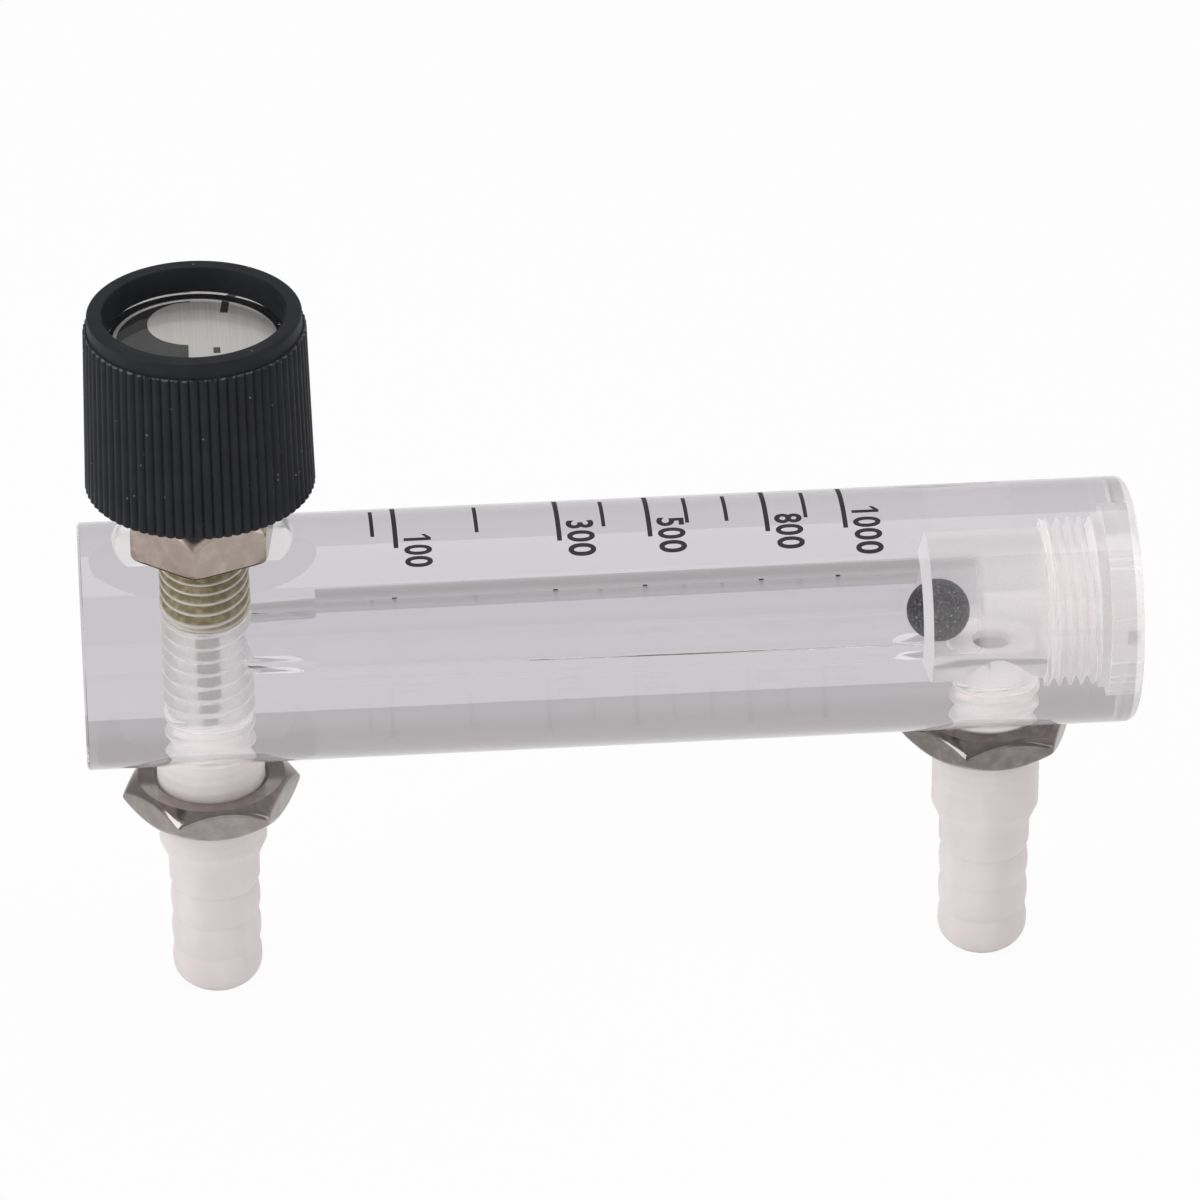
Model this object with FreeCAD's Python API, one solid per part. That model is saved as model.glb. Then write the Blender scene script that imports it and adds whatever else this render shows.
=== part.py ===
"""Small acrylic rotameter with a needle valve, two hose barbs and panel nuts.

The meter body lies along X. Its two hose fittings point down (-Z) and the valve
knob points up (+Z). The origin is under the middle of the body, level with the
open ends of the two barbs. All sizes are in millimetres.
"""
import FreeCAD
import Part
import math
import os

V = FreeCAD.Vector
X_AXIS = V(1, 0, 0)
Z_AXIS = V(0, 0, 1)
SAME_PLACE = 1e-6             # two positions closer than this are one

# ---- meter body -----------------------------------------------------------
body_dia = 22.0
body_end_round = 1.0          # rounded edge at the plug end
body_edge_break = 0.2         # broken edge at the other end
inlet_inset = 11.0            # body end to the inlet axis
port_spacing = 70.0           # inlet axis to outlet axis
outlet_inset = 12.5           # outlet axis to the plug end
port_thread_dia = 8.0         # M8x1, both fittings and the valve gland
thread_gap = 0.05             # radial clearance between mating threads

gland_face_dia = 16.0         # spot face under the valve gland
fitting_face_dia = 17.2       # spot faces under the two fittings
spot_face_depth = 0.7         # measured from the crown of the rod
cutter_corner = 0.4           # corner radius of the spot-facing cutter

# ---- metering bore and chamber ---------------------------------------------
bore_small_dia = 5.86         # inlet end of the tapered metering bore
bore_large_dia = 6.40         # outlet end
passage_small_dia = 4.10      # conical passage from the valve to the bore
passage_large_dia = 4.70
passage_length = 9.7          # inlet axis to the start of the bore
chamber_dia = 9.0
chamber_lead = 5.8            # end of the bore to the outlet axis
outlet_pocket_height = 1.5    # blind end of the outlet port below the bore axis
ball_dia = 5.7
ball_clearance = 0.02         # under the ball, all along its travel
ball_past_bore = 0.9          # ball centre beyond the bore's outlet end at rest

# ---- end plug ---------------------------------------------------------------
plug_thread_dia = 10.0        # M10x1
plug_port_gap = 0.35          # plug's inner face to the outlet port
plug_head_dia = 11.4
plug_head_thickness = 2.4
plug_head_recess = 0.1        # head lies this far inside the end face
plug_neck_length = 0.8
stop_pin_dia = 2.2
stop_pin_distance = 4.9       # end of the bore to the tip of the stop pin
plug_slot_width = 1.2
plug_slot_depth = 1.0
plug_gap = 0.05               # radial, head to counterbore

# ---- O-rings ------------------------------------------------------------------
port_ring_cord = 0.8          # under the gland and the fittings
plug_ring_cord = 0.8
ring_gap = 0.03               # between a ring and the walls of its groove

# ---- hose fittings --------------------------------------------------------------
shank_length = 6.2            # threaded into the body
collar_thread_dia = 9.7       # M10x1, carries the panel nut
collar_length = 10.1
collar_chamfer_length = 1.8
barb_root_dia = 8.2           # straight stretch below the collar
barb_root_length = 3.0
barb_valley_dia = 7.6
barb_crest_dia = 8.1
barb_land = 0.4               # narrow cylinder on top of each crest
barb_fullness = 0.75          # of the curve between valley and crest, 0.5 is straight
barb_pitch = 3.2
barb_count = 3
nose_end_dia = 6.0            # flat ring at the open end
nose_length = 2.3             # last crest to the open end
nose_fullness = 0.8           # of the curve from the last crest to the open end
fitting_bore_dia = 3.6
seat_orifice_dia = 2.2        # valve seat in the inlet fitting
seat_thickness = 1.2

# ---- panel nuts ----------------------------------------------------------------
nut_flats = 14.0
nut_thickness = 3.1
nut_chamfer_angle = 40.0      # of the chamfer cones, from the nut's face
nut_face_dia = 13.2           # flat ring left by the chamfer
inlet_nut_drop = 3.5          # inlet nut stands this far below its spot face
outlet_nut_drop = 0.05
inlet_nut_turn = 6.8          # about its axis, degrees
outlet_nut_turn = 10.4

# ---- valve gland -----------------------------------------------------------------
gland_flats = 12.0
gland_hex_height = 4.5
gland_chamfer_angle = 54.0
gland_face_dia_top = 11.4
gland_turn = 22.5
gland_shank_length = 7.4
stem_thread_dia = 5.0         # M5x0.5 in the gland
gland_land_length = 3.6       # plain bore above the stem thread
stem_pitch = 0.5
closing_turns = 1.5
opening_turns = 3.0
stem_stop_gap = 0.05          # stem shoulder to gland shoulder, fully open

# ---- valve stem -----------------------------------------------------------------
stem_dia = 4.0
stem_fit = 0.05               # radial, stem in the gland bore
stem_thread_length = 5.1
needle_dia = 2.9
needle_tip_dia = 0.5
needle_half_angle = 24.0
needle_seat_gap = 0.02        # radial, needle to seat when closed
spindle_dia = 3.0             # upper end, inside the knob's bush
stem_groove_depth = 0.7
stem_groove_width = 0.8

# ---- knob ---------------------------------------------------------------------
knob_lift = 1.5               # underside of the knob above the gland, at rest
knob_bottom_dia = 20.2
knob_top_dia = 19.4
knob_rib_height = 15.6
knob_rib_depth = 0.3
knob_rib_count = 72
knob_band_dia = 18.7
knob_band_height = 1.5
knob_rim_round = 0.3
knob_wall = 1.6
knob_web_thickness = 1.7      # floor under the dial disc
dial_recess_dia = 16.0        # mouth of the recess over the lens
lens_dia = 15.3
lens_thickness = 1.1
lens_depth = 2.2              # top of the lens below the rim
lens_ledge_width = 0.4
lens_gap = 0.05
dial_thickness = 0.5
dial_air_gap = 0.05           # lens to dial disc
boss_dia = 9.2
boss_clearance = 0.7          # underside of the boss above the knob's lower edge
bush_dia = 6.2
bush_length = 9.0
screw_dia = 1.6
screw_length = 4.0
screw_head_dia = 3.6
screw_head_height = 1.2
screw_slot_width = 0.5
screw_slot_depth = 0.5
washer_dia = 4.8
washer_thickness = 0.4
screw_pocket_dia = 5.2

# ---- places worked out from the sizes above ----------------------------------------
barb_length = barb_root_length + (barb_count - 0.5) * barb_pitch + nose_length
fitting_drop = collar_length + collar_chamfer_length + barb_length
spot_face_offset = body_dia / 2 - spot_face_depth
axis_height = fitting_drop + spot_face_offset
body_length = inlet_inset + port_spacing + outlet_inset
body_left = -body_length / 2
body_right = body_length / 2
inlet_x = body_left + inlet_inset
outlet_x = inlet_x + port_spacing
bore_start = inlet_x + passage_length
bore_end = outlet_x - chamber_lead
port_hole_radius = port_thread_dia / 2 + thread_gap

lower_face_z = axis_height - spot_face_offset
upper_face_z = axis_height + spot_face_offset
seat_z = lower_face_z + shank_length
gland_top_z = upper_face_z + gland_hex_height
gland_shoulder_z = gland_top_z - gland_land_length
closing_travel = closing_turns * stem_pitch
opening_travel = opening_turns * stem_pitch
stem_thread_top_z = gland_shoulder_z - opening_travel - stem_stop_gap
knob_bottom_z = gland_top_z + knob_lift
knob_rib_top_z = knob_bottom_z + knob_rib_height
knob_top_z = knob_rib_top_z + knob_band_height
lens_top_z = knob_top_z - lens_depth
lens_bottom_z = lens_top_z - lens_thickness
dial_bottom_z = lens_bottom_z - dial_air_gap - dial_thickness
spindle_bottom_z = knob_bottom_z + boss_clearance
bush_top_z = spindle_bottom_z + bush_length
stem_ring_z = gland_shoulder_z + gland_land_length / 2 + (closing_travel - opening_travel) / 2

plug_head_x = body_right - plug_head_recess - plug_head_thickness
thread_end_x = plug_head_x - plug_neck_length
plug_inner_x = outlet_x + port_hole_radius + plug_port_gap
stop_pin_x = bore_end + stop_pin_distance
ball_drop_start = (bore_small_dia - ball_dia) / 2 - ball_clearance
ball_drop_end = (bore_large_dia - ball_dia) / 2 - ball_clearance
ball_slope = (ball_drop_end - ball_drop_start) / (bore_end - bore_start)
ball_rest = V(bore_end + ball_past_bore, 0,
              axis_height - ball_drop_end - ball_slope * ball_past_bore)


# ---- helpers ------------------------------------------------------------------------
def upright(radius, z_low, z_high, x=0.0):
    """Vertical cylinder between two heights."""
    return Part.makeCylinder(radius, z_high - z_low, V(x, 0, z_low), Z_AXIS)


def along(radius, x_low, x_high):
    """Cylinder on the body axis between two stations."""
    return Part.makeCylinder(radius, x_high - x_low, V(x_low, 0, axis_height), X_AXIS)


def cone_along(radius_low, radius_high, x_low, x_high):
    """Cone on the body axis between two stations."""
    return Part.makeCone(radius_low, radius_high, x_high - x_low,
                         V(x_low, 0, axis_height), X_AXIS)


def turned(edges, x):
    """Solid of revolution about the vertical at x, from a closed profile in (radius, z)."""
    face = Part.Face(Part.Wire(edges))
    solid = face.revolve(V(0, 0, 0), Z_AXIS, 360)
    solid.translate(V(x, 0, 0))
    return solid


def lines(points):
    """Straight edges through (radius, z) points."""
    corners = [V(r, 0, z) for r, z in points]
    return [Part.LineSegment(a, b).toShape() for a, b in zip(corners, corners[1:])]


def ring(centre_radius, cord, centre, axis):
    """O-ring lying in a groove."""
    return Part.makeTorus(centre_radius, cord / 2, centre, axis)


def hexagon(flats, z_low, z_high, x, turn):
    """Hexagonal prism; turn is the angle of its first corner from +X."""
    corner_radius = flats / math.sqrt(3)
    corners = [V(x + corner_radius * math.cos(math.radians(turn + 60 * i)),
                 corner_radius * math.sin(math.radians(turn + 60 * i)), z_low)
               for i in range(7)]
    return Part.Face(Part.makePolygon(corners)).extrude(V(0, 0, z_high - z_low))


def chamfer_cone(face_dia, angle, face_z, far_z, x):
    """Cone that chamfers the corners of a hexagon, from its face towards far_z."""
    height = abs(far_z - face_z)
    wide = face_dia / 2 + height / math.tan(math.radians(angle))
    direction = V(0, 0, 1 if far_z > face_z else -1)
    return Part.makeCone(face_dia / 2, wide, height, V(x, 0, face_z), direction)


def spot_cutter(face_dia, x, face_z, outward):
    """Flat-bottomed cutter with rounded corners, reaching clear of the rod."""
    height = body_dia / 2
    tool = Part.makeCylinder(face_dia / 2, height, V(x, 0, face_z), V(0, 0, outward))
    rim = [e for e in tool.Edges if abs(e.CenterOfMass.z - face_z) < SAME_PLACE]
    return tool.makeFillet(cutter_corner, rim)


# ---- body ---------------------------------------------------------------------------
def end_edge(rod, x):
    """Circular edge of the plain rod's end face at x."""
    return [e for e in rod.Edges if abs(e.CenterOfMass.x - x) < SAME_PLACE]


def make_meter_body():
    """Acrylic rod with the metering bore, chamber, plug seat, ports and spot faces."""
    rod = along(body_dia / 2, body_left, body_right)
    rod = rod.makeFillet(body_end_round, end_edge(rod, body_right))
    rod = rod.makeChamfer(body_edge_break, end_edge(rod, body_left))
    ring_pocket = port_thread_dia / 2 + port_ring_cord / 2 + 2 * ring_gap
    pocket_depth = port_ring_cord + 2 * ring_gap
    cuts = [
        cone_along(passage_small_dia / 2, passage_large_dia / 2, inlet_x, bore_start),
        cone_along(bore_small_dia / 2, bore_large_dia / 2, bore_start, bore_end),
        along(chamber_dia / 2, bore_end, plug_inner_x),
        along(plug_thread_dia / 2 + thread_gap, plug_inner_x, body_right),
        along(plug_ring_radius() + plug_ring_cord / 2 + ring_gap,
              thread_end_x, body_right),
        along(plug_head_dia / 2 + plug_gap, plug_head_x, body_right + body_end_round),
        upright(port_hole_radius, lower_face_z, upper_face_z, inlet_x),
        upright(port_hole_radius, lower_face_z,
                axis_height - outlet_pocket_height, outlet_x),
        upright(ring_pocket, upper_face_z - pocket_depth, upper_face_z, inlet_x),
        spot_cutter(gland_face_dia, inlet_x, upper_face_z, 1),
    ]
    for x in (inlet_x, outlet_x):
        cuts.append(upright(ring_pocket, lower_face_z, lower_face_z + pocket_depth, x))
        cuts.append(spot_cutter(fitting_face_dia, x, lower_face_z, -1))
    return rod.cut(cuts)


def make_float_ball():
    """Float ball at its resting place, just out of the metering bore."""
    return Part.makeSphere(ball_dia / 2, ball_rest)


# ---- end plug -------------------------------------------------------------------------
def plug_ring_radius():
    """Centre radius of the plug's O-ring, which clears the plug's thread."""
    return plug_thread_dia / 2 - plug_ring_cord / 4


def make_end_plug():
    """Screwed plug with its slotted head and the pin that stops the ball."""
    neck_radius = plug_ring_radius() - plug_ring_cord / 2 - ring_gap
    outer_x = body_right - plug_head_recess
    plug = along(plug_head_dia / 2, plug_head_x, outer_x)
    plug = plug.fuse([along(neck_radius, thread_end_x, plug_head_x),
                      along(plug_thread_dia / 2, plug_inner_x, thread_end_x),
                      along(stop_pin_dia / 2, stop_pin_x, plug_inner_x)])
    slot = Part.makeBox(plug_slot_depth, plug_head_dia, plug_slot_width,
                        V(outer_x - plug_slot_depth, -plug_head_dia / 2,
                          axis_height - plug_slot_width / 2))
    return plug.cut(slot).removeSplitter()


def make_plug_o_ring():
    """Seal between the plug's head and the body."""
    middle = thread_end_x + plug_neck_length / 2
    return ring(plug_ring_radius(), plug_ring_cord - 2 * ring_gap,
                V(middle, 0, axis_height), X_AXIS)


# ---- hose fittings -----------------------------------------------------------------------
def barb_outline(top_z):
    """Right-hand outline of the barbs, from the collar's end down to the open end."""
    crest, valley, half = barb_crest_dia / 2, barb_valley_dia / 2, barb_pitch / 2
    root_end = top_z - barb_root_length
    edges = lines([(barb_root_dia / 2, top_z),
                   (barb_root_dia / 2, root_end + half / 2), (valley, root_end)])
    z = root_end
    swell = (crest - valley) * barb_fullness
    for index in range(barb_count):
        land_top = z - half + barb_land / 2
        land_low = z - half - barb_land / 2
        edges.append(Part.Arc(V(valley, 0, z),
                              V(valley + swell, 0, (z + land_top) / 2),
                              V(crest, 0, land_top)).toShape())
        edges += lines([(crest, land_top), (crest, land_low)])
        if index < barb_count - 1:
            z -= barb_pitch
            edges.append(Part.Arc(V(crest, 0, land_low),
                                  V(valley + swell, 0, (z + land_low) / 2),
                                  V(valley, 0, z)).toShape())
    tip = nose_end_dia / 2
    bulge = V(tip + (crest - tip) * nose_fullness, 0, land_low / 2)
    edges.append(Part.Arc(V(crest, 0, land_low), bulge, V(tip, 0, 0)).toShape())
    return edges


def make_fitting(x, orifice_dia):
    """Hose barb, threaded collar and threaded shank turned about the port's axis."""
    bore, orifice = fitting_bore_dia / 2, orifice_dia / 2
    collar, shank = collar_thread_dia / 2, port_thread_dia / 2
    neck = shank - port_ring_cord / 2
    groove_top = lower_face_z + port_ring_cord + 2 * ring_gap
    collar_low = lower_face_z - collar_length
    barb_top = collar_low - collar_chamfer_length
    if orifice < bore:
        inside = [(bore, 0), (bore, seat_z - seat_thickness),
                  (orifice, seat_z - seat_thickness), (orifice, seat_z)]
    else:
        inside = [(bore, 0), (bore, seat_z)]
    outside = [(shank - thread_gap, seat_z), (shank, seat_z - thread_gap),
               (shank, groove_top), (neck, groove_top), (neck, lower_face_z),
               (collar, lower_face_z), (collar, collar_low),
               (barb_root_dia / 2, barb_top)]
    top = lines(inside + outside)
    close = lines([(nose_end_dia / 2, 0), (bore, 0)])
    return turned(top + barb_outline(barb_top) + close, x)


def make_port_o_ring(x, z):
    """Seal in the mouth of a port, centred at height z."""
    centre_radius = port_thread_dia / 2 + ring_gap
    return ring(centre_radius, port_ring_cord - 2 * ring_gap, V(x, 0, z), Z_AXIS)


def make_nut(x, top_z, turn):
    """Thin hexagon nut chamfered on both faces."""
    low_z = top_z - nut_thickness
    nut = hexagon(nut_flats, low_z, top_z, x, turn)
    nut = nut.common(chamfer_cone(nut_face_dia, nut_chamfer_angle, top_z, low_z, x))
    nut = nut.common(chamfer_cone(nut_face_dia, nut_chamfer_angle, low_z, top_z, x))
    return nut.cut(upright(collar_thread_dia / 2 + thread_gap, low_z, top_z, x))


# ---- needle valve -------------------------------------------------------------------------
def make_valve_gland():
    """Hexagon gland that screws into the body and carries the stem."""
    low_z = upper_face_z - gland_shank_length
    shank = port_thread_dia / 2
    groove_low = upper_face_z - port_ring_cord - 2 * ring_gap
    head = hexagon(gland_flats, upper_face_z, gland_top_z, inlet_x, gland_turn)
    head = head.common(chamfer_cone(gland_face_dia_top, gland_chamfer_angle,
                                    gland_top_z, upper_face_z, inlet_x))
    gland = head.fuse([upright(shank - port_ring_cord / 2, groove_low,
                               upper_face_z, inlet_x),
                       upright(shank, low_z, groove_low, inlet_x)])
    return gland.cut([upright(stem_thread_dia / 2, low_z, gland_shoulder_z, inlet_x),
                      upright(stem_dia / 2 + stem_fit, gland_shoulder_z,
                              gland_top_z, inlet_x)])


def make_valve_stem():
    """Stem with its thread, ring groove, spindle and needle point, as one turned piece."""
    needle, tip, shaft = needle_dia / 2, needle_tip_dia / 2, stem_dia / 2
    slope = math.tan(math.radians(needle_half_angle))
    closed_radius = seat_orifice_dia / 2 - needle_seat_gap
    cone_top = seat_z + closing_travel + (needle - closed_radius) / slope
    cone_low = cone_top - (needle - tip) / slope
    thread_low = stem_thread_top_z - stem_thread_length
    groove = shaft - stem_groove_depth
    groove_low = stem_ring_z - stem_groove_width / 2
    groove_top = stem_ring_z + stem_groove_width / 2
    thread = stem_thread_dia / 2 - thread_gap
    tapped = screw_dia / 2
    tapped_low = bush_top_z - screw_length
    outline = [(0, cone_low), (tip, cone_low), (needle, cone_top), (needle, thread_low),
               (thread, thread_low), (thread, stem_thread_top_z),
               (shaft, stem_thread_top_z), (shaft, groove_low), (groove, groove_low),
               (groove, groove_top), (shaft, groove_top), (shaft, spindle_bottom_z),
               (spindle_dia / 2, spindle_bottom_z), (spindle_dia / 2, bush_top_z),
               (tapped, bush_top_z), (tapped, tapped_low), (0, tapped_low),
               (0, cone_low)]
    return turned(lines(outline), inlet_x)


def make_stem_o_ring():
    """Seal in the stem's groove; it slides in the gland with the stem."""
    return ring(stem_dia / 2 - stem_groove_depth / 2, stem_groove_depth - 2 * ring_gap,
                V(inlet_x, 0, stem_ring_z), Z_AXIS)


# ---- knob -----------------------------------------------------------------------------------
def scalloped_wire(dia, z):
    """Closed row of outward arcs: the ribs of the knob in plan."""
    crest = dia / 2
    valley = crest - knob_rib_depth
    step = 2 * math.pi / knob_rib_count

    def at(radius, angle):
        return V(inlet_x + radius * math.cos(angle), radius * math.sin(angle), z)
    return Part.Wire([Part.Arc(at(valley, i * step), at(crest, (i + 0.5) * step),
                               at(valley, (i + 1) * step)).toShape()
                      for i in range(knob_rib_count)])


def make_knob_shell():
    """Moulded knob: ribbed taper, smooth band, dial recess, web, boss and open skirt."""
    ribs = Part.makeLoft([scalloped_wire(knob_bottom_dia, knob_bottom_z),
                          scalloped_wire(knob_top_dia, knob_rib_top_z)], True, True)
    band = upright(knob_band_dia / 2, knob_rib_top_z, knob_top_z, inlet_x)
    rim = [e for e in band.Edges if abs(e.CenterOfMass.z - knob_top_z) < SAME_PLACE]
    band = band.makeFillet(knob_rim_round, rim)
    web_low = dial_bottom_z - knob_web_thickness
    boss_low = spindle_bottom_z
    skirt_low = knob_bottom_dia / 2 - knob_rib_depth - knob_wall
    skirt_top = knob_top_dia / 2 - knob_rib_depth - knob_wall
    hollow = Part.makeCone(skirt_low, skirt_top, web_low - knob_bottom_z,
                           V(inlet_x, 0, knob_bottom_z), Z_AXIS)
    boss = upright(boss_dia / 2, boss_low, web_low, inlet_x)
    recess = Part.makeCone(lens_dia / 2 + lens_gap, dial_recess_dia / 2, lens_depth,
                           V(inlet_x, 0, lens_top_z), Z_AXIS)
    ledge = lens_dia / 2 - lens_ledge_width
    cuts = [recess,
            upright(lens_dia / 2 + lens_gap, lens_bottom_z, lens_top_z, inlet_x),
            upright(ledge, dial_bottom_z, lens_bottom_z, inlet_x),
            upright(screw_pocket_dia / 2, bush_top_z, dial_bottom_z, inlet_x),
            upright(bush_dia / 2, boss_low, bush_top_z, inlet_x)]
    return ribs.fuse(band).cut(hollow.cut(boss)).cut(cuts)


def make_knob_bush():
    """Brass bush moulded into the boss; the stem's spindle is pressed into it."""
    bush = upright(bush_dia / 2, spindle_bottom_z, bush_top_z, inlet_x)
    return bush.cut(upright(spindle_dia / 2, spindle_bottom_z, bush_top_z, inlet_x))


def make_screw_washer():
    """Washer between the screw's head and the bush."""
    washer = upright(washer_dia / 2, bush_top_z, bush_top_z + washer_thickness, inlet_x)
    return washer.cut(upright(screw_dia / 2, bush_top_z,
                              bush_top_z + washer_thickness, inlet_x))


def make_knob_screw():
    """Slotted screw that holds the knob on the stem."""
    head_z = bush_top_z + washer_thickness
    head_top = head_z + screw_head_height
    screw = upright(screw_head_dia / 2, head_z, head_top, inlet_x)
    screw = screw.fuse(upright(screw_dia / 2, bush_top_z - screw_length, head_z, inlet_x))
    slot = Part.makeBox(screw_head_dia, screw_slot_width, screw_slot_depth,
                        V(inlet_x - screw_head_dia / 2, -screw_slot_width / 2,
                          head_top - screw_slot_depth))
    return screw.cut(slot)


def make_dial_disc():
    """Metal disc that shows the valve's opening, under the lens."""
    radius = lens_dia / 2 - lens_ledge_width - lens_gap
    return upright(radius, dial_bottom_z, dial_bottom_z + dial_thickness, inlet_x)


def make_dial_lens():
    """Clear window over the dial disc."""
    return upright(lens_dia / 2, lens_bottom_z, lens_top_z, inlet_x)


# ---- the whole meter -----------------------------------------------------------------------
def make_parts():
    """Every piece of the meter by its name."""
    half_pocket = port_ring_cord / 2 + ring_gap
    return {
        "meter_body": make_meter_body(),
        "float_ball": make_float_ball(),
        "end_plug": make_end_plug(),
        "plug_o_ring": make_plug_o_ring(),
        "inlet_fitting": make_fitting(inlet_x, seat_orifice_dia),
        "outlet_fitting": make_fitting(outlet_x, fitting_bore_dia),
        "inlet_o_ring": make_port_o_ring(inlet_x, lower_face_z + half_pocket),
        "outlet_o_ring": make_port_o_ring(outlet_x, lower_face_z + half_pocket),
        "inlet_nut": make_nut(inlet_x, lower_face_z - inlet_nut_drop, inlet_nut_turn),
        "outlet_nut": make_nut(outlet_x, lower_face_z - outlet_nut_drop,
                               outlet_nut_turn),
        "valve_gland": make_valve_gland(),
        "gland_o_ring": make_port_o_ring(inlet_x, upper_face_z - half_pocket),
        "valve_stem": make_valve_stem(),
        "stem_o_ring": make_stem_o_ring(),
        "knob_shell": make_knob_shell(),
        "knob_bush": make_knob_bush(),
        "screw_washer": make_screw_washer(),
        "knob_screw": make_knob_screw(),
        "dial_disc": make_dial_disc(),
        "dial_lens": make_dial_lens(),
    }


def main():
    """Write one STEP file for each piece."""
    os.makedirs("parts", exist_ok=True)
    for name, shape in make_parts().items():
        shape.exportStep("parts/" + name + ".step")
        print(name, "solids", len(shape.Solids), "valid", shape.isValid(),
              "volume", round(shape.Volume, 2))


if __name__ == "__main__":
    main()
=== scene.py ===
"""Finish of a small acrylic rotameter: clear rod, cut threads, printed scale, knob and dial.

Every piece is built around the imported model, in metres and in its frame: the meter
body lies along X, the hose barbs point down and the valve knob points up.
"""

import bmesh
import bpy
import math
from mathutils import Matrix, Vector


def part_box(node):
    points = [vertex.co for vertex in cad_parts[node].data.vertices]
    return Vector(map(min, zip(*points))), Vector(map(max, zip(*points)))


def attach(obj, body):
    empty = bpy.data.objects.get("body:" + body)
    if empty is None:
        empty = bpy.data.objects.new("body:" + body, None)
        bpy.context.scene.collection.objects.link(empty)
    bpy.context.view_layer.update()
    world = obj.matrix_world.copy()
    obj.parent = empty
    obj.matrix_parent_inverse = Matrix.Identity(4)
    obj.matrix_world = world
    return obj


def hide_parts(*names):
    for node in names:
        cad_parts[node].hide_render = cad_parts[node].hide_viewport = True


bl_info = {
    "name": "Acrylic rotameter",
    "version": (1, 0, 0),
    "blender": (4, 5, 0),
    "location": "View3D > Sidebar > Rotameter",
    "description": "Clear body, threads, printed scale, knob and studio of a small rotameter",
    "category": "Object",
}

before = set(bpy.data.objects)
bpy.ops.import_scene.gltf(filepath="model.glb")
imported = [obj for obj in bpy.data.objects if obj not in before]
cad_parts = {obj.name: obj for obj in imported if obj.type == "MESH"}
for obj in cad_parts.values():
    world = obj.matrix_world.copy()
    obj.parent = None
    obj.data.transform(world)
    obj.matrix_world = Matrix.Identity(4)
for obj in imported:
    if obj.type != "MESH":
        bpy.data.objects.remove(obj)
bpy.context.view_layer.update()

MM = 0.001
NEAR = 1e-4                       # points closer than this, in millimetres, are one
TURN = 2 * math.pi


def corners(node):
    """Lowest and highest corners of a node, in millimetres."""
    low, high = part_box(node)
    return Vector(low) / MM, Vector(high) / MM


# ---- places read from the frame, in millimetres ----
rod_low, rod_high = corners("meter_body")
rod_radius = (rod_high.y - rod_low.y) / 2
inlet_low, inlet_high = corners("inlet_fitting")
outlet_low, outlet_high = corners("outlet_fitting")
gland_low, gland_high = corners("valve_gland")
plug_low, plug_high = corners("end_plug")
knob_low, knob_high = corners("knob_shell")
lens_low, lens_high = corners("dial_lens")
dial_low, dial_high = corners("dial_disc")
bush_low, bush_high = corners("knob_bush")
ball_low, ball_high = corners("float_ball")
inlet_x = (inlet_low.x + inlet_high.x) / 2
outlet_x = (outlet_low.x + outlet_high.x) / 2
axis_z = (plug_low.z + plug_high.z) / 2

# ---- sizes of the machined body, in millimetres ----
top_face = axis_z + rod_radius - 0.7      # spot faces under the gland and the fittings
low_face = axis_z - rod_radius + 0.7
bore_start = inlet_x + 9.7
bore_end = outlet_x - 5.8
plug_face = outlet_x + 4.4                # inner end of the plug's thread
plug_neck = plug_high.x - 3.2
plug_head = plug_high.x - 2.4
ring_pocket, ring_depth = 4.46, 0.86      # pockets of the O-rings at the spot faces
embedded = 3.3                            # bore inside the gland, which fills its hole
port_bore, shank = 4.05, 4.0              # tapped port, and the thread that fills it
seat_bore, plug_thread = 5.05, 5.0        # the same for the plug
chamber = 4.5                             # radius of the chamber
passage_start, passage_end = 2.05, 2.35   # radii of the passage from the valve
taper_start, taper_end = 2.93, 3.20       # radii of the metering bore
frost_length = 0.8                        # cone where the bore opens into the chamber
gland_spot, nut_spot = 8.0, 8.6           # radii of the spot faces
beyond = 9                                # reach of a cutter past the face it opens
collar, collar_relief = 4.85, 0.03        # collar, whose fine thread is nearly smooth
nut_flats, gland_flats = 14.0, 12.0
rim_band = 9.35                           # smooth band at the knob's rim


# ---- settings a user would change ----
class BodySizes(bpy.types.PropertyGroup):
    """Sizes of the clear body and of the threads cut in it."""
    segments: bpy.props.IntProperty(
        name="Segments", description="Facets round the rod", default=192, min=48)
    pitch: bpy.props.FloatProperty(
        name="Port pitch", description="Pitch of the port threads", default=1.0 * MM,
        unit="LENGTH", precision=5)
    depth: bpy.props.FloatProperty(
        name="Thread depth", description="Depth of the port threads", default=0.55 * MM,
        unit="LENGTH", precision=5)
    # the acrylic's grey is darker than its own faint tint: partly painted shade, standing in
    # for the grey surroundings seen through the rod
    tint: bpy.props.FloatVectorProperty(
        name="Acrylic", description="Colour of the clear acrylic", subtype="COLOR",
        size=3, default=(0.60, 0.575, 0.605))


class PrintSizes(bpy.types.PropertyGroup):
    """The scale printed on the crown of the rod."""
    long_line: bpy.props.FloatProperty(
        name="Long line", description="Length of a numbered line", default=7.7 * MM,
        unit="LENGTH", precision=5)
    short_line: bpy.props.FloatProperty(
        name="Short line", description="Length of a plain line", default=5.0 * MM,
        unit="LENGTH", precision=5)
    line_width: bpy.props.FloatProperty(
        name="Line width", description="Width of a printed line", default=0.38 * MM,
        unit="LENGTH", precision=5)
    figure: bpy.props.FloatProperty(
        name="Figure height", description="Height of the figures", default=2.45 * MM,
        unit="LENGTH", precision=5)
    ink: bpy.props.FloatVectorProperty(
        name="Ink", description="Colour of the printing ink", subtype="COLOR", size=3,
        default=(0.030, 0.028, 0.032))


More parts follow.
